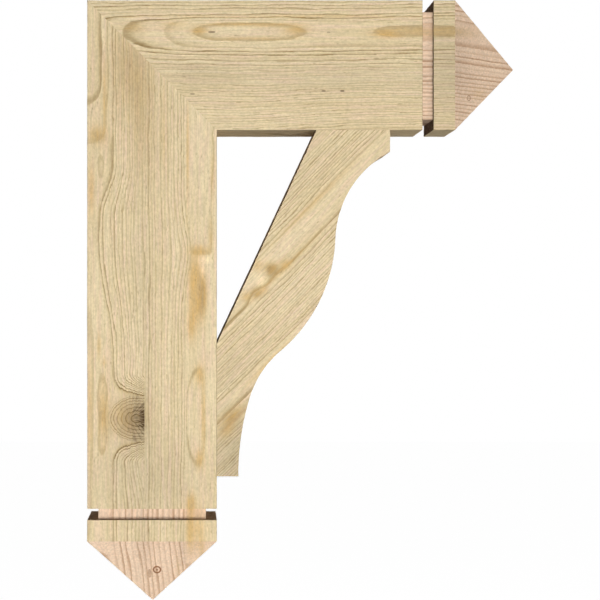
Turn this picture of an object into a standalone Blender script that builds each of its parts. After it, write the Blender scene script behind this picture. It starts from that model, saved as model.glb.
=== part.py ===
"""Timber corbel bracket: a mitred post and beam with pointed finial ends, propped by a curved brace.

+X runs out from the wall, +Z up and Y across. The origin is on the wall face, at the middle of
the post's plain length. Lengths are in metres.
"""

import math

import bmesh
import bpy
from mathutils import Euler, Matrix, Vector

INCH = 0.0254

# Overall sizes of the bracket
HEIGHT = 28 * INCH  # top face down to the post's point
PROJECTION = 20 * INCH  # wall face out to the beam's point

# Section of the sawn timber that the post and the beam are cut from
TIMBER_FACE = 6 * INCH  # seen from the side of the bracket
TIMBER_WIDTH = 6 * INCH  # across the bracket

# Finial that ends each timber: a groove all round, a band of full section, and a pyramid
GROOVE_WIDTH = 0.5 * INCH
GROOVE_DEPTH = 0.5 * INCH
BAND_LENGTH = 1 * INCH
POINT_LENGTH = 3 * INCH

# Brace in the inner corner, as wide as the timbers
BRACE_MARGIN = 1.5 * INCH  # plain timber left between the brace and each groove
BRACE_TOE = 1 * INCH  # plumb end below the beam
BRACE_HEEL = 1 * INCH  # level end beside the post
BRACE_BEAM_SEAT = 3.4 * INCH  # length that bears on the beam
BRACE_POST_SEAT = 6.15 * INCH  # length that bears on the post

# Front edge of the brace, from the toe to the heel: a hollow, a belly, and a hollow that eases
# into a long tail. Each is an arc that leaves the last one in line.
TOE_ANGLE = math.radians(152.3)  # of the edge as it leaves the toe, from straight out to down
TOE_HOLLOW_RADIUS = 4.72 * INCH
TOE_HOLLOW_ANGLE = math.radians(60.2)
BELLY_RADIUS = 7.14 * INCH
BELLY_ANGLE = math.radians(47.8)
HEEL_HOLLOW_RADIUS = 4.53 * INCH
HEEL_HOLLOW_ANGLE = math.radians(32.8)
TAIL_RADIUS = 11.88 * INCH
TAIL_ANGLE = math.radians(17.9)
STEP_ANGLE = math.radians(2.5)  # between the points on an arc

JOINT_GAP = 0.0003  # hairline left between pieces that touch

POST_COLOUR = (0.66, 0.53, 0.33, 1.0)
BEAM_COLOUR = (0.67, 0.54, 0.33, 1.0)
BRACE_COLOUR = (0.69, 0.56, 0.35, 1.0)
WOOD_ROUGHNESS = 0.75

# Lengths and places worked out from the sizes
FINIAL_LENGTH = GROOVE_WIDTH + BAND_LENGTH + POINT_LENGTH
POST_BODY = HEIGHT - FINIAL_LENGTH  # top face down to the groove
BEAM_BODY = PROJECTION - FINIAL_LENGTH  # wall face out to the groove
BRACE_DROP = POST_BODY - BRACE_MARGIN - TIMBER_FACE  # down from the beam, against the post
BRACE_REACH = BEAM_BODY - BRACE_MARGIN - TIMBER_FACE  # out from the post, under the beam
TOP_Z = POST_BODY / 2
CORNER = Vector((0.0, 0.0, TOP_Z))  # outer corner of the mitre, against the wall
INNER_CORNER = Vector((TIMBER_FACE, 0.0, TOP_Z - TIMBER_FACE))


def clear_scene():
    for old in list(bpy.data.objects):
        bpy.data.objects.remove(old, do_unlink=True)


def sawn_wood(name, colour):
    material = bpy.data.materials.new(name)
    material.use_nodes = True
    shader = material.node_tree.nodes["Principled BSDF"]
    shader.inputs["Base Color"].default_value = colour
    shader.inputs["Roughness"].default_value = WOOD_ROUGHNESS
    shader.inputs["Metallic"].default_value = 0.0
    return material


def add_finial(work):
    """Draws the finial out of a timber's end face, the one furthest along +X."""
    end = max(work.faces, key=lambda face: face.calc_center_median().x)
    centre = end.calc_center_median()

    bmesh.ops.inset_region(work, faces=[end], thickness=GROOVE_DEPTH, use_even_offset=True)
    neck = draw_out(work, end, GROOVE_WIDTH)

    # The far wall of the groove: the end face grows back to the full section in its own plane.
    wall = draw_out(work, neck, 0.0)
    spread = Matrix.Diagonal((
        1.0,
        TIMBER_WIDTH / (TIMBER_WIDTH - 2 * GROOVE_DEPTH),
        TIMBER_FACE / (TIMBER_FACE - 2 * GROOVE_DEPTH),
        1.0,
    ))
    bmesh.ops.transform(work, matrix=spread, space=Matrix.Translation(-centre), verts=wall.verts)

    band = draw_out(work, wall, BAND_LENGTH)
    point = draw_out(work, band, POINT_LENGTH)
    bmesh.ops.pointmerge(work, verts=point.verts, merge_co=point.calc_center_median())


def draw_out(work, face, length):
    """Extrudes one face along +X and returns the new end face."""
    new = bmesh.ops.extrude_face_region(work, geom=[face])["geom"]
    end = next(item for item in new if isinstance(item, bmesh.types.BMFace))
    bmesh.ops.translate(work, verts=end.verts, vec=Vector((length, 0.0, 0.0)))
    bmesh.ops.delete(work, geom=[face], context="FACES_ONLY")
    return end


def timber(name, body_length, collection, material):
    """A timber along +X: plain for body_length, then its finial. Its outer face is on Z 0.

    The end at the origin is cut to a 45 degree mitre that runs down from the outer face.
    """
    work = bmesh.new()
    size = Matrix.Diagonal((body_length, TIMBER_WIDTH, TIMBER_FACE, 1.0))
    place = Matrix.Translation((body_length / 2, 0.0, -TIMBER_FACE / 2))
    bmesh.ops.create_cube(work, size=1.0, matrix=place @ size)
    add_finial(work)

    into_timber = Vector((1.0, 0.0, 1.0)).normalized()
    cut = bmesh.ops.bisect_plane(
        work,
        geom=work.verts[:] + work.edges[:] + work.faces[:],
        plane_co=into_timber * JOINT_GAP / 2,
        plane_no=into_timber,
        clear_inner=True,
    )
    rim = [item for item in cut["geom_cut"] if isinstance(item, bmesh.types.BMEdge)]
    bmesh.ops.contextual_create(work, geom=rim)
    bmesh.ops.recalc_face_normals(work, faces=work.faces)

    mesh = bpy.data.meshes.new(name)
    work.to_mesh(mesh)
    work.free()
    mesh.materials.append(material)
    piece = bpy.data.objects.new(name, mesh)
    collection.objects.link(piece)
    return piece


def front_edge():
    """The brace's front edge from the toe to the heel: X out from the post, Y down from the beam."""
    arcs = (
        (TOE_HOLLOW_RADIUS, -TOE_HOLLOW_ANGLE),
        (BELLY_RADIUS, BELLY_ANGLE),
        (HEEL_HOLLOW_RADIUS, -HEEL_HOLLOW_ANGLE),
        (TAIL_RADIUS, -TAIL_ANGLE),
    )
    heading = TOE_ANGLE
    drawn = [Vector((0.0, 0.0))]
    for radius, turn in arcs:
        side = math.copysign(radius, turn)
        spoke = Vector((math.sin(heading), -math.cos(heading))) * side
        centre = drawn[-1] - spoke
        steps = max(2, math.ceil(abs(turn) / STEP_ANGLE))
        for step in range(1, steps + 1):
            drawn.append(centre + Matrix.Rotation(turn * step / steps, 2) @ spoke)
        heading += turn

    # The arcs are fitted so that they end exactly at the heel.
    toe = Vector((BRACE_REACH, BRACE_TOE))
    heel = Vector((BRACE_HEEL, BRACE_DROP))
    fit_x = (heel.x - toe.x) / drawn[-1].x
    fit_y = (heel.y - toe.y) / drawn[-1].y
    return [Vector((toe.x + point.x * fit_x, toe.y + point.y * fit_y)) for point in drawn]


def brace_outline():
    """The brace's side view, round from the corner of its back edge under the beam."""
    return [
        Vector((BRACE_REACH - BRACE_BEAM_SEAT, JOINT_GAP)),
        Vector((BRACE_REACH, JOINT_GAP)),
        *front_edge(),
        Vector((JOINT_GAP, BRACE_DROP)),
        Vector((JOINT_GAP, BRACE_DROP - BRACE_POST_SEAT)),
    ]


def brace(name, collection, material):
    outline = brace_outline()
    curve = bpy.data.curves.new(name, "CURVE")
    curve.dimensions = "2D"
    curve.fill_mode = "BOTH"
    curve.extrude = TIMBER_WIDTH / 2
    spline = curve.splines.new("POLY")
    spline.points.add(len(outline) - 1)
    spline.use_cyclic_u = True
    for target, corner in zip(spline.points, outline):
        target.co = (corner.x, -corner.y, 0.0, 1.0)
    curve.materials.append(material)

    piece = bpy.data.objects.new(name, curve)
    piece.location = INNER_CORNER
    piece.rotation_euler = Euler((math.radians(90), 0.0, 0.0))
    collection.objects.link(piece)
    return piece


def main():
    clear_scene()
    collection = bpy.data.collections.new("corbel_bracket")
    bpy.context.scene.collection.children.link(collection)

    beam = timber("top_beam", BEAM_BODY, collection, sawn_wood("beam_wood", BEAM_COLOUR))
    beam.location = CORNER

    # The post is the same timber at its own length, turned over about the line of the mitre.
    post = timber("upright_post", POST_BODY, collection, sawn_wood("post_wood", POST_COLOUR))
    mitre_line = Vector((1.0, 0.0, -1.0)).normalized()
    post.location = CORNER
    post.rotation_euler = Matrix.Rotation(math.pi, 3, mitre_line).to_euler()

    brace("curved_brace", collection, sawn_wood("brace_wood", BRACE_COLOUR))


main()
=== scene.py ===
import math

import bmesh
import bpy
import numpy as np
from mathutils import Matrix, Vector


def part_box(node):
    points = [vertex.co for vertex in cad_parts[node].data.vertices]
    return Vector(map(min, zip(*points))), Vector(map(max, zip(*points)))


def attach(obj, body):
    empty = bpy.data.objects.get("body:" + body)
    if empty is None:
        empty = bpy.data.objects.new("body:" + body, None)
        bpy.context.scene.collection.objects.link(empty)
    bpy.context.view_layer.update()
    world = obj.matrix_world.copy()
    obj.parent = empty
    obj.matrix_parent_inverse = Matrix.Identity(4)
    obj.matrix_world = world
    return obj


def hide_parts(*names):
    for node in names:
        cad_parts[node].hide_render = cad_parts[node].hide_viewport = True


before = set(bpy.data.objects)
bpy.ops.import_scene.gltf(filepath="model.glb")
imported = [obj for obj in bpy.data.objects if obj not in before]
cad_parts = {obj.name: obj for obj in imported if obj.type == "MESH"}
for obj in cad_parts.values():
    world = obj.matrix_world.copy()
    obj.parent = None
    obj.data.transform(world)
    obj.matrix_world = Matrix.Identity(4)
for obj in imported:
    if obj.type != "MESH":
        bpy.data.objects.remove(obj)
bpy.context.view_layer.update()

# Upright post. A rough-sawn softwood timber, glued up from two boards, that stands against the
# wall. Its foot is cut to a groove, a band and a pyramid, and its head is mitred to the beam.
# The cut wood is fresh and pink, and a half knot ends at the glue line.
POST_LOW, POST_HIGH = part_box("upright_post")
TIMBER = POST_HIGH.x - POST_LOW.x  # the timber is square
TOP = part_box("top_beam")[1].z  # of the whole bracket
FRONT = POST_LOW.y
GROOVE = 0.0127  # wide and deep
BAND = 0.0254
POINT = 0.0762
EASE = 0.0004  # wear on the rims that the saw left sharp
ARRIS = 0.0009  # wear along the timber's four long edges
TIP = 0.0004  # the point is blunt by this much before it closes
POST_LENGTH = TOP - POST_LOW.z
POST_BODY = POST_LENGTH - POINT - BAND - GROOVE
POST_STRETCHES = ((0.425, 85), (0.560, 75), (POST_BODY - 2 * EASE, 8))  # where it ends, rows in it
FRONT_COLUMNS = 127
SIDE_COLUMNS = 80
GROOVE_ROWS = 6  # on its floor, and on each wall
BAND_ROWS = 10
POINT_ROWS = 36
ON_CUT = 0.000001  # a point this near to a cut is on it
SAWN, FRESH, END_GRAIN = 0, 1, 2  # finishes, in the order of a timber's materials


def square_ring(work):
    """The timber's outline at the start of its length, with worn corners. Y is across it."""
    bmesh.ops.create_grid(work, x_segments=1, y_segments=1, size=TIMBER / 2)
    bmesh.ops.bevel(
        work, geom=work.verts[:], offset=ARRIS, segments=2, profile=0.5, affect="VERTICES", material=-1,
    )
    long_edges = [edge for edge in work.edges if edge.calc_length() > TIMBER / 2]
    bmesh.ops.delete(work, geom=work.faces[:], context="FACES_ONLY")
    front = [edge for edge in long_edges if max(vert.co.y for vert in edge.verts) < 0]
    front = [edge for edge in front if abs(edge.verts[0].co.y - edge.verts[1].co.y) < ARRIS]
    others = [edge for edge in long_edges if edge not in front]
    bmesh.ops.subdivide_edges(work, edges=front, cuts=FRONT_COLUMNS - 1)
    bmesh.ops.subdivide_edges(work, edges=others, cuts=SIDE_COLUMNS - 1)
    stand = Matrix.Rotation(math.radians(90), 4, "Y")
    down = Matrix.Translation((0.0, 0.0, -TIMBER / 2))
    bmesh.ops.transform(work, matrix=down @ stand, verts=work.verts[:])
    return work.edges[:]


def draw_out(work, ring, old, new, rows, finish):
    """Carries the ring on from one (place, inset) to the next, in rows of faces with one finish."""
    centre = Matrix.Translation((0.0, 0.0, TIMBER / 2))
    for row in range(1, rows + 1):
        made = bmesh.ops.extrude_edge_only(work, edges=ring)["geom"]
        ring = [item for item in made if isinstance(item, bmesh.types.BMEdge)]
        verts = [item for item in made if isinstance(item, bmesh.types.BMVert)]
        for face in work.faces[-len(ring):]:
            face.material_index = finish
        here = old[0] + (new[0] - old[0]) * (row / rows)
        size = TIMBER / 2 - (old[1] + (new[1] - old[1]) * (row / rows))
        before = TIMBER / 2 - (old[1] + (new[1] - old[1]) * ((row - 1) / rows))
        scale = Matrix.Diagonal((1.0, size / before, size / before, 1.0))
        bmesh.ops.transform(work, matrix=scale, space=centre, verts=verts)
        shift = here - verts[0].co.x
        bmesh.ops.translate(work, verts=verts, vec=(shift, 0.0, 0.0))
    return ring


def cut(work, place, normal, **options):
    everything = work.verts[:] + work.edges[:] + work.faces[:]
    bmesh.ops.bisect_plane(work, geom=everything, plane_co=place, plane_no=normal, **options)


def timber_shell(body, stretches):
    """A timber along +X with its top at Z 0: plain for body, then groove, band and pyramid.

    The plain length's stretches are each given as (where it ends, rows of faces in it).
    """
    work = bmesh.new()
    ring = square_ring(work)
    neck = body + GROOVE
    end = neck + BAND
    stations = [(place, 0.0, rows, SAWN) for place, rows in stretches]
    stations += [
        (body - EASE, 0.0, 1, SAWN),
        (body, EASE, 1, SAWN),
        (body, GROOVE, GROOVE_ROWS, END_GRAIN),
        (neck, GROOVE, GROOVE_ROWS, FRESH),
        (neck, EASE, GROOVE_ROWS, END_GRAIN),
        (neck + EASE, 0.0, 1, SAWN),
        (end, 0.0, BAND_ROWS, SAWN),
        (end + POINT - TIP, TIMBER / 2 - TIP, POINT_ROWS, FRESH),
    ]
    old = (0.0, 0.0)
    for place, inset, rows, finish in stations:
        ring = draw_out(work, ring, old, (place, inset), rows, finish)
        old = (place, inset)
    tip = list({vert for edge in ring for vert in edge.verts})
    bmesh.ops.pointmerge(work, verts=tip, merge_co=(end + POINT, 0.0, -TIMBER / 2))

    into_timber = Vector((1.0, 0.0, 1.0)).normalized()
    cut(work, (0.0, 0.0, 0.0), into_timber, clear_inner=True)
    return work


def close_mitre(work):
    """Fills the mitre with end grain, and turns every face outwards."""
    rim = [edge for edge in work.edges if edge.is_boundary]
    cap = bmesh.ops.contextual_create(work, geom=rim)["faces"]
    for face in cap:
        face.material_index = END_GRAIN
    bmesh.ops.recalc_face_normals(work, faces=work.faces[:])


def eased(place, stations, width):
    """Reads a value at a place from a few (place, value) stations, rounded off over width."""
    places, values = zip(*stations)
    steps = (-1.0, -0.5, 0.0, 0.5, 1.0)
    return sum(np.interp(place + step * width, places, values) for step in steps) / len(steps)


def rise(place, start, end):
    """0 before start, 1 after end, and smooth between."""
    share = np.clip((place - start) / (end - start), 0.0, 1.0)
    return share * share * (3.0 - 2.0 * share)


def bell(distance, width):
    """1 at no distance, and fading to nothing over about two widths."""
    return np.exp(-((distance / width) ** 2))


def wander(across, along, waves):
    """How far the grain strays. Each wave is (size, length along, length across, start)."""
    return sum(
        size * np.sin(along / length + across / width + start) for size, length, width, start in waves
    )


def swell(across, along, marks):
    """The sum of soft oval marks, each (across, along, half width, half length, strength)."""
    total = 0.0
    for middle, place, width, length, strength in marks:
        away = ((across - middle) / width) ** 2 + ((along - place) / length) ** 2
        total = total + strength * np.exp(-away)
    return total


def timber_place(points, length_axis):
    """A point's distance along the timber, across its face and behind its front."""
    out = points[:, 0]
    down = TOP - points[:, 2]
    deep = points[:, 1] - FRONT
    return (down, out, deep) if length_axis == "Z" else (out, down, deep)


GLUE_LINE = 0.0676  # from the wall
SLIT = 0.0003  # width of the glue line
KNOT_DROP = 0.4907  # from the top
KNOT_MOUTH = 0.0561  # from the wall, where the knot is tallest
KNOT_REACH = 0.0319  # towards the wall
KNOT_HALF_HEIGHT = 0.0260
KNOT_ROUNDNESS = 1.85  # 2 is an ellipse, and less is more pointed
KNOT_RINGS = 7.0
KNOT_PULL = 0.022  # beyond this from the wall, the knot bends the rings to the glue line
BOW_DROP = 0.4886  # from the top, the middle of the long bow on the room's side
BOW_OUT = 0.1318  # from the wall
BOW_TO_WALL = 0.0154
BOW_TO_ROOM = 0.0066
BOW_HALF_HEIGHT = 0.055
BOW_ROUNDNESS = 2.3
FLAT_RINGS = 3.0  # in the flat grain by the wall
CLOSE_END = 0.1152  # from the wall, where the close grain of the room's board ends
CLOSE_COUNT = 27.0  # rings up to there, counted from the wall
HEART_DEPTH = 0.095  # behind the front
HIDDEN_RINGS = 600.0  # this times the distance from the heart squared is the count of rings
HIDDEN_POINT_RINGS = 200.0  # the same on the post's point
FIGURE_DEPTH = 0.06  # behind the front, where a figure of the grain is down to a third
STAIN_DEPTH = 0.04  # the same for a stain


def hidden_grain(along, deep, pace=HIDDEN_RINGS):
    """Rings met on the way back through a timber, whose heart lies beyond its middle."""
    heart = HEART_DEPTH + 0.006 * np.sin(along / 0.11 + 2.0)
    return pace * ((deep - heart) ** 2 - heart ** 2)


def uneven(count):
    """How far thick and thin years shift a ring, by its count since the grain grew close."""
    count = np.maximum(count, 0.0)
    return 0.10 * np.sin(2.3 * count) + 0.09 * np.sin(3.9 * count)


def knot_radius(across, along):
    """Distance from the middle of the knot's mouth, 1 on the knot's outline."""
    sideways = np.maximum(KNOT_MOUTH - across, 0.0) / KNOT_REACH
    upways = abs(along - KNOT_DROP) / KNOT_HALF_HEIGHT
    return (sideways ** KNOT_ROUNDNESS + upways ** KNOT_ROUNDNESS) ** (1 / KNOT_ROUNDNESS)


def wall_board(across, along, shown):
    """Rings of the board at the wall, counted from the wall. They bend round the knot."""
    # Two rings run out at the wall's edge, below the top. A third bounds the flat grain, and
    # swings towards the wall above the knot.
    edge = 0.3 + shown * (0.75 * rise(along, 0.095, 0.130) + rise(along, 0.148, 0.172))
    third = 0.032 - 0.017 * shown * rise(along, 0.195, 0.255) * (1.0 - rise(along, 0.290, 0.420))
    # Level with the knot, the rings beyond KNOT_PULL are drawn out to the glue line.
    bent = 1.0 - 0.88 * shown * (1.0 - rise(abs(along - KNOT_DROP), 0.022, 0.052))
    place = across - np.maximum(across - KNOT_PULL, 0.0) * (1.0 - bent)
    # The flat grain is widest by the wall, and the close grain has fewer rings at the foot.
    power = 2.4 + 3.0 * shown * rise(along, 0.250, 0.400)
    flat = edge + (FLAT_RINGS - edge) * np.clip(place / third, 0.0, 1.0) ** power
    count = 11.4 - 3.2 * rise(along, 0.530, 0.600)
    dense = count * np.maximum(place - third, 0.0) / (GLUE_LINE - third)
    rings = flat + dense + uneven(dense)
    rings = rings + shown * swell(across, along, (
        (0.0170, 0.196, 0.0050, 0.017, -0.60),
        (0.0190, 0.464, 0.0046, 0.020, -0.75),
        (0.0190, 0.510, 0.0046, 0.018, -0.75),
        (0.0010, 0.460, 0.0050, 0.070, -0.60),
        (0.0010, 0.560, 0.0040, 0.060, -0.50),
    ))
    # The knot ends about 32 mm behind the front, where shown is down to 0.75.
    radius = knot_radius(across, along)
    knot = 2.0 - KNOT_RINGS * np.maximum(1.0 - radius, 0.0) ** 0.75
    return np.where((radius < 1.0) & (shown > 0.75), knot, rings)


def bow_radius(across, along):
    """Distance from the middle of the long bow in the room's side board, 1 on its outline."""
    to_wall = (BOW_OUT - across) / BOW_TO_WALL
    to_room = (across - BOW_OUT) / BOW_TO_ROOM
    sideways = np.maximum(to_wall, to_room)
    upways = abs(along - BOW_DROP) / BOW_HALF_HEIGHT
    return (sideways ** BOW_ROUNDNESS + upways ** BOW_ROUNDNESS) ** (1 / BOW_ROUNDNESS)


def room_board(across, along, shown):
    """Rings of the board on the room's side, whose last rings run flat and close in long tongues."""
    # The close grain bulges towards the room at one place, where the flat grain beyond it ends
    # in a tongue.
    bulge = 0.0074 * bell(along - 0.296, 0.032) * shown
    left = CLOSE_END + bulge
    place = across - bulge * rise(across, 0.085, 0.115)
    rings = eased(place, (
        (0.060, 12.0), (GLUE_LINE, 14.4), (0.082, 18.6), (0.093, 21.3), (CLOSE_END, CLOSE_COUNT),
        (0.125, 29.4),
    ), 0.0012)
    # From left to right the count hardly rises, so that a ring crosses slowly, as a tongue.
    right = 0.1560 - 0.0075 * rise(along, 0.120, 0.160) - 0.0027 * rise(along, 0.180, 0.240)
    spread = np.clip((across - left) / (right - left), 0.0, 1.0) ** 9
    tongue_end = np.clip((along - 0.262) / 0.038, 0.0, 1.0) ** 2 * shown
    flat = 27.1 + 0.9 * (1.0 - (1.0 - spread) * (1.0 - tongue_end))
    flat = flat + 0.12 * rise(across, right, right + 0.002) + 0.1 * rise(along, 0.2985, 0.303)
    flat = flat + 0.25 * rise(along, 0.303, 0.360)
    flat = flat + 0.48 * shown * bell(bow_radius(across, along) - 1.0, 0.12)
    # On the hidden back, plain rings take the tongues' place.
    flat = flat - (1.0 - shown) * 180.0 * (across - left)
    return np.where(across < left, rings + uneven(CLOSE_COUNT - rings), flat)


POST_WAVES = (
    (0.0007, 0.095, math.inf, 1.0),
    (0.0004, 0.037, 0.030, 0.0),
    (0.0002, 0.014, 0.009, 0.0),
)


def post_rings(points):
    along, across, deep = timber_place(points, "Z")
    tip = along > POST_LENGTH - POINT
    shown = np.maximum(bell(deep, FIGURE_DEPTH), tip)
    place = across + wander(across, along, POST_WAVES) * rise(abs(along - KNOT_DROP), 0.02, 0.06)
    by_wall = across < GLUE_LINE - SLIT / 2
    rings = np.where(by_wall, wall_board(place, along, shown), room_board(place, along, shown))
    return rings + hidden_grain(along, deep, np.where(tip, HIDDEN_POINT_RINGS, HIDDEN_RINGS))


RELIEF = 0.00020  # how far the early wood has sunk between the rings
SAW_WAVE = 0.00012  # height of the low waves that the saw left
SAW_TURNS = np.array((310.0, 220.0, 270.0))  # radians of those waves in a metre out, across and up
MITRE_RIM = 0.003  # the relief sets in over this distance from the mitre
CLOSEST = 0.45  # rings for each millimetre, past which they get no more ragged
NUDGE = 0.0004  # step over which the closeness of the rings is measured
SHY = 0.000001  # keeps every face inside the plain solid, whatever the rounding


def relief(rings):
    """How far the soft early wood has sunk between the hard rings, from 0 on a ring to 1."""
    part = rings - np.floor(rings)
    return 1.0 - np.clip((part - 0.45) / 0.4, 0.0, 1.0) * np.clip((1.0 - part) / 0.12, 0.0, 1.0)


def closeness(points, normals, rings_of):
    """Rings for each millimetre along the surface, in the direction where they are closest."""
    here = rings_of(points)
    steps = [rings_of(points + NUDGE * axis) - here for axis in np.eye(3)]
    slope = np.clip(np.stack(steps, axis=1), -1.0, 1.0) / NUDGE
    slope = slope - (slope * normals).sum(axis=1, keepdims=True) * normals
    return np.minimum(np.linalg.norm(slope, axis=1) * 0.001, CLOSEST)


def dress(work, name, rings_of, marks_of, from_mitre):
    """Sinks the early wood, writes the grain onto the points, and makes the mesh."""
    work.normal_update()
    points = np.array([vert.co for vert in work.verts])
    normals = np.array([vert.normal for vert in work.verts])
    rings = rings_of(points)
    wave = 0.5 + 0.5 * np.sin(points @ SAW_TURNS + 2.0 * np.sin(points[:, 2] / 0.04))
    sunk = SHY + (RELIEF * relief(rings) + SAW_WAVE * wave) * rise(from_mitre(points), 0.0, MITRE_RIM)
    for vert, depth in zip(work.verts, sunk):
        vert.co -= vert.normal * depth

    mesh = bpy.data.meshes.new(name)
    work.to_mesh(mesh)
    work.free()
    layers = {"rings": rings, "close": closeness(points, normals, rings_of), **marks_of(points)}
    for layer, values in layers.items():
        attribute = mesh.attributes.new(layer, "FLOAT", "POINT")
        attribute.data.foreach_set("value", np.asarray(values, dtype=np.float32))
    mesh.shade_smooth()
    mesh.set_sharp_from_angle(angle=math.radians(32))
    piece = bpy.data.objects.new(name, mesh)
    bpy.context.scene.collection.objects.link(piece)
    return piece


def layers_of(bold, stain, shade, char):
    """The grain's layers: how bold the rings are, then golden, dark (or light) and black places."""
    return {
        "bold": bold,
        "char": np.clip(char, 0.0, 1.0),
        "stain": np.clip(stain, 0.0, 1.0),
        "shade": np.clip(shade, -1.0, 1.0),
    }


def post_marks(points):
    along, across, deep = timber_place(points, "Z")
    front = bell(deep, STAIN_DEPTH)
    bold = eased(across, (
        (0.0, 0.7), (0.026, 0.7), (0.034, 0.55), (0.082, 0.50), (0.09, 0.65), (0.15, 0.85),
    ), 0.002)
    bow = front * bell(bow_radius(across, along) - 1.0, 0.15)
    bold = bold + 0.5 * bow * (across < 0.130)
    bold = bold + front * swell(across, along, (
        (0.0190, 0.487, 0.0090, 0.045, 0.6),
        (0.0200, 0.090, 0.0080, 0.080, 0.4),
    ))
    by_knot = front * (across < GLUE_LINE - SLIT / 2)
    near_knot = 1.0 - rise(knot_radius(across, along), 1.3, 2.3)
    bold = bold + 1.1 * by_knot * near_knot * rise(across, 0.024, 0.034)
    stain = front * swell(across, along, (
        (0.0050, 0.222, 0.0035, 0.026, 0.8),
        (0.0120, 0.158, 0.0100, 0.010, 0.9),
        (0.0205, 0.110, 0.0022, 0.045, 0.7),
        (0.0140, 0.405, 0.0020, 0.012, 0.7),
        (0.0200, 0.425, 0.0030, 0.005, 0.5),
        (0.0030, 0.480, 0.0030, 0.060, 0.6),
        (0.0190, 0.486, 0.0055, 0.036, 0.7),
        (0.0900, 0.150, 0.0030, 0.060, 0.3),
        (0.1180, 0.180, 0.0016, 0.055, 0.8),
        (0.1470, 0.205, 0.0022, 0.030, 0.5),
        (0.1320, 0.294, 0.0110, 0.006, 1.0),
        (0.1450, 0.275, 0.0030, 0.016, 0.5),
        (0.1265, 0.324, 0.0065, 0.024, 1.0),
        (0.1280, 0.355, 0.0085, 0.030, 1.0),
        (0.0480, KNOT_DROP, 0.0200, 0.024, 0.75),
        (0.0480, 0.080, 0.0220, 0.050, 0.40),
        (0.0640, 0.130, 0.0160, 0.070, 0.30),
        (0.1220, 0.383, 0.0040, 0.016, 0.9),
        (0.1360, 0.345, 0.0050, 0.022, 1.0),
        (0.1364, 0.489, 0.0026, 0.044, 0.8),
        (0.1318, 0.440, 0.0045, 0.012, 0.9),
        (0.1318, 0.538, 0.0045, 0.012, 0.9),
        (0.1220, 0.590, 0.0050, 0.010, 1.0),
        (0.1205, 0.622, 0.0045, 0.030, 0.9),
        (0.1310, 0.622, 0.0085, 0.030, 0.7),
        (0.1070, 0.672, 0.0030, 0.014, 0.7),
        (0.1350, 0.650, 0.0030, 0.016, 0.5),
    ))
    shade = front * swell(across, along, (
        (0.0480, 0.080, 0.0220, 0.050, 0.5),
        (0.0130, 0.161, 0.0100, 0.007, 0.5),
        (0.0660, 0.130, 0.0160, 0.070, 0.4),
        (0.0620, 0.300, 0.0100, 0.090, 0.3),
        (0.0720, 0.440, 0.0080, 0.100, 0.3),
        (0.1292, 0.204, 0.0012, 0.010, 0.7),
        (0.1350, 0.345, 0.0045, 0.026, 0.9),
        (0.1390, 0.3035, 0.0080, 0.0035, -1.0),
        (0.1355, 0.317, 0.0028, 0.010, -1.0),
        (0.0500, KNOT_DROP, 0.0220, 0.028, 1.0),
        (0.0700, 0.560, 0.0700, 0.050, 0.6),
        (0.0660, 0.655, 0.0080, 0.050, 0.5),
        (0.1120, 0.650, 0.0050, 0.026, 0.5),
    ))
    char = by_knot * swell(across, along, (
        (0.0700, KNOT_DROP, 0.0070, 0.0160, 0.70),
        (0.0600, KNOT_DROP, 0.0150, 0.0260, 0.54),
        (0.0575, 0.4660, 0.0060, 0.0050, 0.20),
        (0.0575, 0.5150, 0.0060, 0.0050, 0.20),
    ))
    return layers_of(bold, stain, shade, char)


def from_timber_mitre(points):
    """Distance from the plane that the post and the beam meet on."""
    return abs(points[:, 0] - (TOP - points[:, 2])) * math.sqrt(0.5)


class Value:
    """A number in a shader's tree. Arithmetic on it adds the Math nodes."""

    def __init__(self, paint, socket):
        self.paint = paint
        self.socket = socket

    def math(self, operation, *others):
        inputs = dict(enumerate((self, *others)))
        return self.paint.node("ShaderNodeMath", {"operation": operation}, inputs)

    def __add__(self, other):
        return self.math("ADD", other)

    def __sub__(self, other):
        return self.math("SUBTRACT", other)

    def __mul__(self, other):
        return self.math("MULTIPLY", other)

    def __rsub__(self, other):
        return self.paint.node("ShaderNodeMath", {"operation": "SUBTRACT"}, {0: other, 1: self})

    __radd__ = __add__
    __rmul__ = __mul__

    def output(self, name):
        """Another output of the same node."""
        return Value(self.paint, self.socket.node.outputs[name])

    def between(self, start, end):
        """0 below start, 1 above end, and smooth between; the other way round if start is higher."""
        low, high = min(start, end), max(start, end)
        ends = (0.0, 1.0) if start < end else (1.0, 0.0)
        return self.paint.node(
            "ShaderNodeMapRange", {"interpolation_type": "SMOOTHSTEP"},
            {0: self, 1: low, 2: high, 3: ends[0], 4: ends[1]},
        )


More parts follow.
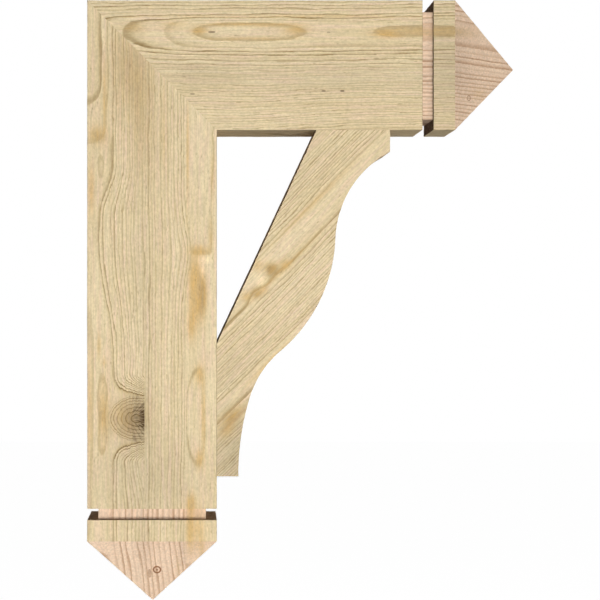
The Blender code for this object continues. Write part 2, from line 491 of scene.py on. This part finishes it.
class Paint:
    """The shader of a material, or of the world, under construction."""

    def __init__(self, owner, shader="Principled BSDF"):
        owner.use_nodes = True
        self.owner = owner
        self.tree = owner.node_tree
        self.shader = self.tree.nodes[shader]

    def node(self, kind, settings, inputs, output=0):
        """Adds a node, with its settings first and then the values or links of its sockets."""
        node = self.tree.nodes.new(kind)
        for setting, value in settings.items():
            setattr(node, setting, value)
        for place, value in inputs.items():
            self.feed(node.inputs[place], value)
        return Value(self, node.outputs[output])

    def feed(self, socket, value):
        """Links a socket to a value from the tree, or sets it to a plain one."""
        if isinstance(value, Value):
            self.tree.links.new(value.socket, socket)
        else:
            socket.default_value = value

    def attribute(self, name):
        """A layer of the grain, as dress wrote it onto the points."""
        return self.node("ShaderNodeAttribute", {"attribute_name": name}, {}, output="Fac")

    def mix(self, share, first, second):
        inputs = {0: share, 6: first, 7: second}
        return self.node("ShaderNodeMix", {"data_type": "RGBA"}, inputs, output=2)

    def scaled(self, vector, sizes):
        """The vector in steps as long as sizes say, in metres."""
        factors = tuple(1.0 / size for size in sizes)
        return self.node("ShaderNodeVectorMath", {"operation": "MULTIPLY"}, {0: vector, 1: factors})

    def noise(self, vector, sizes, detail=2.0, roughness=0.5):
        place = self.scaled(vector, sizes)
        inputs = {"Vector": place, "Scale": 1.0, "Detail": detail, "Roughness": roughness}
        return self.node("ShaderNodeTexNoise", {}, inputs)


def rgb(red, green, blue):
    """A colour given as it shows on screen, 0 to 255, turned into the linear one by the sRGB rule."""
    shown = (channel / 255.0 for channel in (red, green, blue))
    return (*(c / 12.92 if c <= 0.04045 else ((c + 0.055) / 1.055) ** 2.4 for c in shown), 1.0)


BLUSH = rgb(226, 198, 172)
GOLD = rgb(202, 166, 106)
CHAR = rgb(86, 63, 36)
KNOT_PITH = (0.0505, FRONT, TOP - KNOT_DROP)  # where the knot's cracks fan out from


def spot(paint, place, centre, sizes, strength, ringed):
    """A speck, or the ringed end of a twig, where it comes out of the wood."""
    offset = paint.node("ShaderNodeVectorMath", {"operation": "SUBTRACT"}, {0: place, 1: centre})
    away = paint.scaled(offset, sizes)
    length = paint.node("ShaderNodeVectorMath", {"operation": "LENGTH"}, {0: away}, output="Value")
    solid = length.between(1.15, 0.9) * strength
    if not ringed:
        return solid
    # A twig's rings are dark and light by turns, outwards from its middle.
    return solid * (0.55 + 0.45 * (length * 7.4).math("COSINE"))


def knot_streaks(paint, place):
    """Cracks that fan out across the knot from its middle to the glue line."""
    offset = paint.node("ShaderNodeVectorMath", {"operation": "SUBTRACT"}, {0: place, 1: KNOT_PITH})
    out = paint.node("ShaderNodeSeparateXYZ", {}, {0: offset})
    angle = out.output("Z").math("ARCTAN2", out)
    # The cracks are narrow round the fan and long outwards.
    fan = paint.node("ShaderNodeCombineXYZ", {}, {"X": angle * 9.0, "Y": out * 90.0})
    cracks = paint.node("ShaderNodeTexNoise", {}, {"Vector": fan, "Scale": 1.0, "Detail": 2.0})
    return cracks.between(0.56, 0.40)


def wood(name, turn, tones, char_colour=CHAR, fresh=False, spots=(), knot=False):
    """Softwood whose rings come from the mesh. turn brings the grain upright, in degrees about Y.

    tones are the pale early wood, the tan late wood and the line that ends a ring. Fresh wood has
    broader stripes. spots are specks and twigs, each (centre, sizes, strength, ringed).
    """
    pale, tan, line = tones
    middling = tuple(early + (late - early) * 0.5 for early, late in zip(pale, tan))
    paint = Paint(bpy.data.materials.new(name))
    place = paint.node("ShaderNodeTexCoord", {}, {}, output="Object")
    upright = paint.node(
        "ShaderNodeMapping", {}, {"Vector": place, "Rotation": (0.0, math.radians(turn), 0.0)}
    )

    # What varies from place to place, each noise with its size across and along the grain
    streak = paint.noise(upright, (0.0022, 0.0022, 0.22), detail=3.0, roughness=0.65).between(0.3, 0.7)
    fibre = paint.noise(upright, (0.0019, 0.0019, 0.022), detail=3.0, roughness=0.6).between(0.28, 0.72)
    fuzz = paint.noise(upright, (0.0026, 0.0026, 0.0040), detail=3.0, roughness=0.7).between(0.28, 0.72)
    wobble = paint.noise(upright, (0.006, 0.006, 0.05))
    cloud = paint.noise(upright, (0.022, 0.022, 0.14)).between(0.35, 0.68)
    blush = paint.noise(upright, (0.0045, 0.0045, 0.05)).between(0.42, 0.68)
    fleck = paint.noise(upright, (0.0016, 0.0016, 0.008), detail=1.0).between(0.67, 0.8)

    # The rings, ragged at their edges, each with a boldness of its own
    close = paint.attribute("close")
    unrest = (wobble - 0.5) * 4.0 + (fibre - 0.5)
    rings = paint.attribute("rings") + close * unrest * (0.35 if fresh else 1.0)
    if fresh:
        rings = rings * 0.62
    whole = rings.math("FLOOR")
    part = rings - whole
    chance = paint.node("ShaderNodeTexWhiteNoise", {"noise_dimensions": "1D"}, {"W": whole})
    bold = 0.25 + 0.8 * chance if fresh else paint.attribute("bold") * (0.30 + 1.1 * chance)
    broken = bold * (0.45 + 0.65 * fibre)
    tone = part.between(0.25, 0.9) * part.between(1.0, 0.95)
    edge = part.between(0.5 if fresh else 0.62, 0.88) * part.between(1.0, 0.93)

    # The colour, from the early wood up to stains, knots and the unevenness of the surface
    colour = paint.mix(0.65 * cloud, pale, middling)
    colour = paint.mix(0.6 * blush, colour, pale if fresh else BLUSH)
    colour = paint.mix(0.42 * (1 - streak), colour, tan)
    colour = paint.mix(tone * bold * 0.6, colour, tan)
    colour = paint.mix(edge * broken * 0.9, colour, line)
    colour = paint.mix(paint.attribute("stain") * (0.68 + 0.35 * fibre), colour, GOLD)
    colour = paint.mix(0.45 * fleck, colour, line)
    char = paint.attribute("char")
    if knot:
        char = char * (0.7 + 0.5 * knot_streaks(paint, place))
        char = char + 0.22 * edge * paint.attribute("bold").between(0.9, 1.6)
    for mark in spots:
        char = char + spot(paint, place, *mark)
    colour = paint.mix(char.between(0.0, 1.0), colour, char_colour)
    light = (1 - 0.27 * paint.attribute("shade")) * (0.81 + 0.18 * fibre + 0.19 * fuzz)
    colour = paint.node("ShaderNodeVectorMath", {"operation": "SCALE"}, {0: colour, "Scale": light})
    paint.feed(paint.shader.inputs["Base Color"], colour)

    # The rough sawn surface
    paint.feed(paint.shader.inputs["Roughness"], 0.68 + 0.12 * fibre + 0.06 * edge)
    paint.shader.inputs["Specular IOR Level"].default_value = 0.25
    height = 0.55 * fibre + 0.45 * fuzz + 0.5 * edge
    bump = paint.node("ShaderNodeBump", {}, {"Strength": 0.5, "Distance": 0.0003, "Height": height})
    paint.feed(paint.shader.inputs["Normal"], bump)
    return paint.owner


SAWN_TONES = (rgb(223, 206, 169), rgb(197, 176, 132), rgb(146, 122, 80))
FRESH_TONES = (rgb(239, 213, 185), rgb(222, 188, 158), rgb(176, 134, 100))
END_TONES = (rgb(166, 142, 113), rgb(141, 117, 90), rgb(104, 82, 61))
TWIG = rgb(146, 98, 62)
POST_TWIGS = (
    ((0.0817, FRONT + 0.036, TOP - 0.6712), (0.0050, 0.02, 0.0050), 1.0, True),
    ((0.0730, FRONT + 0.041, TOP - 0.6760), (0.0022, 0.02, 0.0060), 0.5, False),
)

work = timber_shell(POST_BODY, POST_STRETCHES)
for slit_edge in (GLUE_LINE, GLUE_LINE - SLIT):
    cut(work, (0.0, 0.0, -slit_edge), (0.0, 0.0, 1.0), dist=ON_CUT)
# The post is turned over about the mitre: along +X becomes down, and down becomes out.
turn_over = Matrix(((0, 0, -1, 0), (0, 1, 0, 0), (-1, 0, 0, TOP), (0, 0, 0, 1)))
bmesh.ops.transform(work, matrix=turn_over, verts=work.verts[:])
close_mitre(work)
post = dress(work, "post", post_rings, post_marks, from_timber_mitre)
post.data.materials.append(wood("sawn_post", 0.0, SAWN_TONES, knot=True))
post.data.materials.append(wood("fresh_post", 0.0, FRESH_TONES, TWIG, fresh=True, spots=POST_TWIGS))
post.data.materials.append(wood("post_end_grain", 0.0, END_TONES))
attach(post, "root")
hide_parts("upright_post")

# Top beam. The same timber laid level, mitred to the post's head and carried by the brace. Its
# outer end has the same groove, band and pyramid. The saw ran close to the tree's heart near its
# top edge, which leaves a long oval and pointed arches in the grain.
BEAM_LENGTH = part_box("top_beam")[1].x
BEAM_BODY = BEAM_LENGTH - POINT - BAND - GROOVE
HEART = 0.0370  # below the top
HEART_HALF = 0.013  # height of the oval's flat grain above and below the heart
TIP_SLOPE = 0.06  # of the rings on the point
BEAM_STRETCHES = ((BEAM_BODY - 2 * EASE, 120),)
BEAM_WAVES = (
    (0.0008, 0.080, math.inf, 2.0),
    (0.0004, 0.031, 0.025, 0.0),
    (0.0002, 0.012, 0.008, 0.0),
)


def beam_rings(points):
    """Rings counted from the heart. A section that misses the heart leaves out the nearest ones."""
    along, across, deep = timber_place(points, "X")
    tip = along > BEAM_LENGTH - POINT
    shown = np.maximum(bell(deep, FIGURE_DEPTH), tip)
    stray = wander(across, along, BEAM_WAVES)
    # Low on the beam the rings waver, and climb towards its outer end.
    climb = 0.0012 * np.sin(along / 0.045 + 1.0) * rise(across, 0.080, 0.110) * shown
    climb = climb + 0.007 * rise(across, 0.090, 0.150) * rise(along, 0.180, 0.400) * shown
    away = across - HEART + climb + stray * rise(abs(across - HEART), 0.0, 0.014)
    away = away - TIP_SLOPE * deep * tip
    from_heart = eased(away, (
        (-0.050, 11.5), (-0.0355, 7.9), (-0.0176, 2.78), (-0.0135, 1.66), (-0.0111, 0.99), (0.0, 0.0),
        (0.0111, 0.99), (0.0182, 1.66), (0.023, 2.9), (0.0275, 4.0), (0.0305, 5.0), (0.039, 7.0),
        (0.047, 9.2), (0.116, 31.0), (0.130, 35.0),
    ), 0.0012)
    from_heart = from_heart + uneven(from_heart - 5.0)
    nearest = eased(along, (
        (0.0, 3.9), (0.040, 3.0), (0.090, 2.0), (0.110, 1.3), (0.123, 1.0), (0.150, 0.40),
        (0.190, 0.15), (0.235, 0.50), (0.258, 1.0), (0.280, 1.13), (0.322, 1.12), (0.334, 1.0),
        (0.352, 0.76), (0.510, 0.70),
    ), 0.006)
    rings = np.sqrt(from_heart ** 2 + (shown * nearest * (1.0 - 0.7 * tip)) ** 2)
    return rings + hidden_grain(along, deep, HIDDEN_RINGS * (1.0 - tip))


def beam_marks(points):
    along, across, deep = timber_place(points, "X")
    front = bell(deep, STAIN_DEPTH)
    bold = eased(across, (
        (0.0, 0.75), (0.015, 0.85), (0.020, 1.2), (0.068, 0.9), (0.080, 0.40), (0.090, 0.28),
        (0.105, 0.50), (0.120, 0.75), (0.15, 0.75),
    ), 0.002)
    stain = front * swell(across, along, (
        (0.0330, 0.055, 0.0050, 0.012, 0.5),
        (0.0290, 0.100, 0.0060, 0.016, 0.4),
        (0.0360, 0.131, 0.0050, 0.010, 0.9),
        (0.0285, 0.165, 0.0022, 0.030, 0.8),
        (0.0290, 0.215, 0.0022, 0.030, 0.7),
        (0.0350, 0.245, 0.0060, 0.014, 0.8),
        (0.0450, 0.190, 0.0018, 0.050, 0.5),
        (0.0190, 0.250, 0.0014, 0.150, 0.5),
        (0.0395, 0.350, 0.0050, 0.016, 0.9),
        (0.0370, 0.410, 0.0060, 0.060, 0.7),
        (0.1080, 0.464, 0.0060, 0.009, 0.6),
    ))
    shade = front * swell(across, along, (
        (0.0380, 0.415, 0.0080, 0.060, 0.2),
        (0.0750, 0.425, 0.0600, 0.030, 0.6),
        (0.0900, 0.300, 0.0200, 0.120, 0.4),
        (0.0850, 0.130, 0.0150, 0.060, 0.4),
    ))
    # The band and the point are a little darker in tone than the plain length, and the point is darker
    # again with painted shade, as its facets turn from the light.
    shade = shade + 0.12 * rise(along, BEAM_BODY, BEAM_BODY + GROOVE)
    shade = shade + 0.12 * (along > BEAM_LENGTH - POINT)
    bold = bold * (1.0 - 0.4 * front * (abs(across - HEART) < HEART_HALF))
    return layers_of(bold, stain, shade, np.zeros(len(points)))


SPECKS = (
    ((0.1463, FRONT, TOP - 0.0374), (0.0042, 0.03, 0.0012), 0.6, False),
    ((0.1237, FRONT, TOP - 0.1100), (0.0030, 0.03, 0.0010), 0.5, False),
    ((0.2775, FRONT, TOP - 0.1065), (0.0026, 0.03, 0.0010), 0.6, False),
    ((0.2994, FRONT, TOP - 0.1065), (0.0026, 0.03, 0.0010), 0.7, False),
    ((0.2835, FRONT, TOP - 0.0378), (0.0020, 0.03, 0.0010), 0.4, False),
)
BEAM_TWIGS = (((0.4495, FRONT + 0.018, TOP - 0.1138), (0.0026, 0.02, 0.0034), 0.6, True),)
# The walls of the beam's groove get a darker copy of the end grain than the post's: painted shade, as
# they face away from the light.
SHADED_END_TONES = (rgb(108, 86, 66), rgb(90, 71, 52), rgb(66, 51, 38))

work = timber_shell(BEAM_BODY, BEAM_STRETCHES)
bmesh.ops.translate(work, verts=work.verts[:], vec=(0.0, 0.0, TOP))
close_mitre(work)
beam = dress(work, "beam", beam_rings, beam_marks, from_timber_mitre)
beam.data.materials.append(wood("sawn_beam", 90.0, SAWN_TONES, spots=SPECKS))
beam.data.materials.append(wood("fresh_beam", 90.0, FRESH_TONES, TWIG, fresh=True, spots=BEAM_TWIGS))
# Painted shade: the beam's end grain takes the darker copy of the end-grain tones.
beam.data.materials.append(wood("beam_end_grain_painted_shade", 90.0, SHADED_END_TONES))
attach(beam, "root")
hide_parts("top_beam")

# Curved brace. One block as wide as the timbers, band-sawn to a straight back and a waved front,
# and fixed tight between the beam and the post. Its grain slants with the brace.
BRACE_LOW, BRACE_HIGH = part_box("curved_brace")
INCH = 0.0254
REACH = BRACE_HIGH.x - TIMBER
DROP = TOP - TIMBER - BRACE_LOW.z
BEAM_SEAT = 3.4 * INCH
POST_SEAT = 6.15 * INCH
TOE = 1.0 * INCH
HEEL = 1.0 * INCH
TOE_ANGLE = math.radians(152.3)  # of the front edge as it leaves the toe, from straight out to down
FRONT_ARCS = (  # radius and turn of the hollow, the belly, the lower hollow and the tail
    (4.72 * INCH, math.radians(-60.2)),
    (7.14 * INCH, math.radians(47.8)),
    (4.53 * INCH, math.radians(-32.8)),
    (11.88 * INCH, math.radians(-17.9)),
)
ARC_STEP = math.radians(1.0)
BRACE_COLUMNS = 72
BRACE_CUTS = 75  # that divide its edges from front to back
SHADED_BRACE_BACK, BRACE_EDGE = 1, 2  # finishes besides SAWN, in the order of the brace's materials; the back's is painted shade
BITE = 0.0002  # the seats are pressed this far into the rough timbers
BRACE_STRETCHES = ((TOE, 13), (DROP - POST_SEAT, 112), (DROP, 77))  # where it ends, rows in it


def waved_front():
    """The front edge from the toe to the heel, as points (out from the post, down from the beam)."""
    heading = TOE_ANGLE
    drawn = [Vector((0.0, 0.0))]
    for radius, turn in FRONT_ARCS:
        side = math.copysign(radius, turn)
        spoke = Vector((math.sin(heading), -math.cos(heading))) * side
        centre = drawn[-1] - spoke
        steps = math.ceil(abs(turn) / ARC_STEP)
        for step in range(1, steps + 1):
            drawn.append(centre + Matrix.Rotation(turn * step / steps, 2) @ spoke)
        heading += turn
    fit_out = (HEEL - REACH) / drawn[-1].x
    fit_down = (DROP - TOE) / drawn[-1].y
    return [(REACH + point.x * fit_out, TOE + point.y * fit_down) for point in drawn]


def brace_shell():
    """A grid stretched between the back and front edges, row by row, and drawn out across."""
    front_out, front_down = (list(column) for column in zip((REACH, -BITE), *waved_front()))
    back_out = (REACH - BEAM_SEAT, -BITE, -BITE)
    back_down = (-BITE, DROP - POST_SEAT, DROP)
    levels = [-BITE]
    for end, rows in BRACE_STRETCHES:
        start = levels[-1]
        levels += [start + (end - start) * row / rows for row in range(1, rows + 1)]

    work = bmesh.new()
    bmesh.ops.create_grid(work, x_segments=BRACE_COLUMNS, y_segments=len(levels) - 1, size=0.5)
    for vert in work.verts:
        level = levels[round((0.5 - vert.co.y) * (len(levels) - 1))]
        left = np.interp(level, back_down, back_out)
        right = np.interp(level, front_down, front_out)
        out = left + (right - left) * (vert.co.x + 0.5)
        vert.co = (TIMBER + out, FRONT, TOP - TIMBER - level)
    back = bmesh.ops.extrude_face_region(work, geom=work.faces[:])["geom"]
    back_verts = [item for item in back if isinstance(item, bmesh.types.BMVert)]
    bmesh.ops.translate(work, verts=back_verts, vec=(0.0, TIMBER, 0.0))
    bmesh.ops.recalc_face_normals(work, faces=work.faces[:])
    for face in work.faces:
        face.material_index = SAWN if abs(face.normal.y) > 0.5 else BRACE_EDGE
        # Painted shade: the back edge, facing up into the corner by the post, gets the dark end-grain
        # tones.
        if face.normal.x < -0.1 and face.normal.z > 0.1:
            face.material_index = SHADED_BRACE_BACK
    across = [edge for edge in work.edges if abs(edge.verts[0].co.y - edge.verts[1].co.y) > TIMBER / 2]
    bmesh.ops.subdivide_edges(work, edges=across, cuts=BRACE_CUTS, use_grid_fill=True)
    return work


def brace_place(points):
    """Distances across and along a brace's slanting grain, and behind its front."""
    out = points[:, 0]
    down = TOP - points[:, 2]
    return (out + down) / math.sqrt(2.0), (out - down) / math.sqrt(2.0), points[:, 1] - FRONT


BRACE_WAVES = (
    (0.0010, 0.060, math.inf, 0.0),
    (0.0004, 0.024, 0.020, 0.0),
)


def brace_rings(points):
    across, along, deep = brace_place(points)
    rings = eased(across + wander(across, along, BRACE_WAVES), (
        (0.279, -11.0), (0.295, -6.0), (0.347, 11.0), (0.356, 13.05), (0.380, 13.4), (0.3885, 14.1),
        (0.396, 15.5), (0.443, 32.0), (0.4445, 32.1), (0.457, 32.6), (0.463, 33.1), (0.476, 34.2),
        (0.518, 49.0), (0.537, 55.0),
    ), 0.0015)
    shown = bell(deep, FIGURE_DEPTH)
    rings = rings + shown * swell(across, along, (
        (0.3760, -0.070, 0.010, 0.014, 0.5),
        (0.3840, -0.104, 0.009, 0.012, 0.5),
    ))
    return rings + hidden_grain(along, deep)


def brace_marks(points):
    across, along, deep = brace_place(points)
    front = bell(deep, STAIN_DEPTH)
    bold = eased(across, (
        (0.30, 0.75), (0.345, 0.75), (0.352, 1.1), (0.357, 1.1), (0.365, 0.8), (0.385, 0.8),
        (0.395, 0.75), (0.44, 0.75), (0.45, 0.85),
    ), 0.002)
    stain = front * swell(across, along, (
        (0.3560, 0.020, 0.0030, 0.060, 0.5),
        (0.3860, -0.060, 0.0030, 0.050, 0.5),
        (0.3622, -0.079, 0.0070, 0.007, 0.6),
        (0.3752, -0.070, 0.0070, 0.007, 1.0),
        (0.3830, -0.055, 0.0060, 0.007, 0.7),
        (0.3781, -0.114, 0.0060, 0.006, 0.7),
        (0.3839, -0.102, 0.0060, 0.006, 0.9),
        (0.3880, -0.093, 0.0050, 0.005, 0.5),
        (0.4510, -0.150, 0.0030, 0.040, 0.6),
        (0.4660, -0.226, 0.0070, 0.018, 1.0),
        (0.4740, -0.240, 0.0050, 0.012, 0.6),
    ))
    shade = front * swell(across, along, (
        (0.510, -0.250, 0.050, 0.060, 1.0),
        (0.466, -0.226, 0.007, 0.018, 0.5),
        (0.375, -0.071, 0.006, 0.006, 0.9),
        (0.384, -0.103, 0.006, 0.006, 0.7),
        (0.378, -0.088, 0.007, 0.007, -0.9),
        (0.425, -0.190, 0.020, 0.050, 0.3),
        (0.310, 0.010, 0.020, 0.050, 0.3),
    ))
    return layers_of(bold, stain, shade, np.zeros(len(points)))


def far_from_mitre(points):
    """The brace has no mitre, so all of it has its relief."""
    return np.ones(len(points))


EDGE_TONES = (rgb(196, 174, 140), rgb(180, 156, 120), rgb(146, 120, 86))

brace = dress(brace_shell(), "brace", brace_rings, brace_marks, far_from_mitre)
brace.data.materials.append(wood("sawn_brace", -45.0, SAWN_TONES))
# The back edge takes the dark end-grain tones as painted shade.
brace.data.materials.append(wood("back_edge_painted_shade", -45.0, END_TONES))
brace.data.materials.append(wood("sawn_edge", -45.0, EDGE_TONES))
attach(brace, "root")
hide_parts("curved_brace")

# Studio. A plain pale floor well below the bracket, a soft light in front of it with weaker ones
# all round, and a camera square to the bracket's side, where the photograph was taken from.
FLOOR_DROP = 1.2  # below the post's point
FLOOR_HALF = 30.0
floor_mesh = bpy.data.meshes.new("floor")
work = bmesh.new()
bmesh.ops.create_grid(work, x_segments=1, y_segments=1, size=FLOOR_HALF)
bmesh.ops.translate(work, verts=work.verts[:], vec=(0.0, 0.0, POST_LOW.z - FLOOR_DROP))
work.to_mesh(floor_mesh)
work.free()
floor = bpy.data.objects.new("floor", floor_mesh)
bpy.context.scene.collection.objects.link(floor)
floor.visible_diffuse = False
floor.visible_glossy = False
floor_paint = Paint(bpy.data.materials.new("floor_paint"))
floor_paint.shader.inputs["Base Color"].default_value = (0.9, 0.9, 0.9, 1.0)
floor_paint.shader.inputs["Roughness"].default_value = 0.9
floor_paint.shader.inputs["Emission Color"].default_value = (1.0, 1.0, 1.0, 1.0)
floor_paint.shader.inputs["Emission Strength"].default_value = 0.9
floor_mesh.materials.append(floor_paint.owner)

PHOTO_WIDTH = 600
WALL_PIXEL = 87.0  # across, where the photograph has the wall side of the front face
TOP_PIXEL = 0.1  # down, where it has the top of that face
PIXELS_PER_METRE = 852.7  # on that face
VANISHING_PIXEL = (189.0, 301.0)  # across and down, straight ahead of the camera
CAMERA_DISTANCE = 3.56  # from the front face
SENSOR = 36.0  # millimetres
camera_data = bpy.data.cameras.new("camera")
camera_data.sensor_width = SENSOR
camera_data.lens = SENSOR * CAMERA_DISTANCE * PIXELS_PER_METRE / PHOTO_WIDTH
camera_data.shift_x = (PHOTO_WIDTH / 2 - VANISHING_PIXEL[0]) / PHOTO_WIDTH
camera_data.shift_y = (VANISHING_PIXEL[1] - PHOTO_WIDTH / 2) / PHOTO_WIDTH  # the photograph is square
camera = bpy.data.objects.new("camera", camera_data)
camera.location = (
    (VANISHING_PIXEL[0] - WALL_PIXEL) / PIXELS_PER_METRE,
    FRONT - CAMERA_DISTANCE,
    TOP - (VANISHING_PIXEL[1] - TOP_PIXEL) / PIXELS_PER_METRE,
)
camera.rotation_euler = (math.radians(90), 0.0, 0.0)
bpy.context.scene.collection.objects.link(camera)
bpy.context.scene.camera = camera

BRACKET_MIDDLE = Vector((0.2, 0.0, -0.05))


def softbox(name, width, height, energy, place, shines=False):
    """A rectangular light aimed at the middle of the bracket. Only the key shines in the wood."""
    data = bpy.data.lights.new(name, "AREA")
    data.shape = "RECTANGLE"
    data.size = width
    data.size_y = height
    data.energy = energy
    light = bpy.data.objects.new(name, data)
    light.location = place
    light.visible_glossy = shines
    aim = BRACKET_MIDDLE - light.location
    light.rotation_euler = aim.to_track_quat("-Z", "Y").to_euler()
    bpy.context.scene.collection.objects.link(light)


softbox("key", 1.8, 1.5, 198.0, (0.42, -4.2, -1.0), shines=True)
softbox("low_fill", 1.4, 1.0, 21.0, (1.5, -1.2, -1.85))
softbox("left_fill", 1.8, 1.8, 60.0, (-4.2, 1.2, 0.6))
softbox("right_fill", 1.8, 1.8, 80.0, (3.8, 2.2, 0.4))
softbox("back_fill", 1.0, 1.0, 70.0, (0.3, 4.3, 0.3))
softbox("top_fill", 1.8, 1.8, 60.0, (0.3, 0.9, 4.0))

# The room behind is white, and lights the bracket with a tenth of that.
ROOM_SEEN = 1.0
ROOM_LIGHT = 0.10
room = Paint(bpy.data.worlds.new("studio"), shader="Background")
room.shader.inputs["Color"].default_value = (1.0, 1.0, 1.0, 1.0)
seen = room.node("ShaderNodeLightPath", {}, {}, output="Is Camera Ray")
strength = room.node("ShaderNodeMapRange", {}, {"Value": seen, "To Min": ROOM_LIGHT, "To Max": ROOM_SEEN})
room.feed(room.shader.inputs["Strength"], strength)
bpy.context.scene.world = room.owner
bpy.context.scene.view_settings.view_transform = "Standard"
